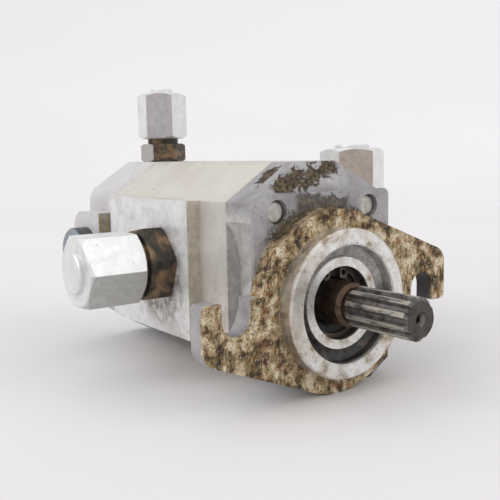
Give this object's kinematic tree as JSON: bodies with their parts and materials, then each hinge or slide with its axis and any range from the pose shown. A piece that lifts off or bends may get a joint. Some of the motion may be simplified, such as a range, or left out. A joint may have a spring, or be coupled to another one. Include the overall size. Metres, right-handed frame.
{
  "type": "hydraulic gear pump",
  "caption": "External gear pump with a splined drive shaft, a two-bolt open-slot flange, an elbow, two straight fittings and hexagonal caps on its ports.",
  "frame": {"origin": "centre of the pilot on the mounting face of the flange", "axes": "-Y along the drive shaft out of the pump, +Z from the drive gear towards the driven gear, +X to the right seen from the shaft end"},
  "size_m": [0.1453, 0.1676, 0.1106],
  "materials": {
    "cast_aluminium": "as-cast, stained",
    "extruded_aluminium": "satin, weathered",
    "shaft_steel": "dark hardened steel, spline crests worn bright",
    "fitting_steel": "dark, oily, lightly rusted",
    "zinc_steel": "bright zinc plated",
    "bolt_steel": "black oxide",
    "bronze": "sintered, oiled",
    "ground_steel": "ground",
    "nitrile": "matt black",
    "ptfe": "matt off-white",
    "seal_steel": "pressed, oily"
  },
  "bodies": {
    "housing": {"front_cover": "cast_aluminium", "pump_body": "extruded_aluminium", "rear_cover": "cast_aluminium", "front_bearing_block": "extruded_aluminium", "rear_bearing_block": "extruded_aluminium", "front_drive_bush": "bronze", "front_driven_bush": "bronze", "rear_drive_bush": "bronze", "rear_driven_bush": "bronze", "front_body_seal": "nitrile", "rear_body_seal": "nitrile", "front_block_seal": "nitrile", "rear_block_seal": "nitrile", "front_backup_rings": "ptfe", "rear_backup_rings": "ptfe", "shaft_seal_case": "seal_steel", "shaft_seal_lip": "nitrile", "garter_spring": "ground_steel", "retaining_ring": "bolt_steel", "through_bolts": "bolt_steel", "bolt_washers": "bolt_steel", "dowel_pins": "ground_steel", "left_port_adapter": "fitting_steel", "left_port_oring": "nitrile", "left_cap_nut": "zinc_steel", "right_port_elbow": "fitting_steel", "right_elbow_locknut": "fitting_steel", "right_elbow_washer": "fitting_steel", "right_port_oring": "nitrile", "right_cap_nut": "zinc_steel", "top_port_adapter": "fitting_steel", "top_port_oring": "nitrile", "top_cap_nut": "zinc_steel", "rear_side_plug": "zinc_steel", "rear_plug_seal": "nitrile"},
    "drive_gear": {"drive_gear_shaft": "shaft_steel"},
    "driven_gear": {"driven_gear_shaft": "shaft_steel"}
  },
  "joints": [
    {"name": "drive_spin", "type": "hinge", "parent": "housing", "child": "drive_gear", "pos_m": [0, 0, 0], "axis": [0, 1, 0], "continuous": true},
    {"name": "driven_spin", "type": "hinge", "parent": "housing", "child": "driven_gear", "pos_m": [0, 0, 0.022], "axis": [0, 1, 0], "continuous": true}
  ],
  "couplings": [
    {"joint": "driven_spin", "follows": "drive_spin", "ratio": -1}
  ]
}
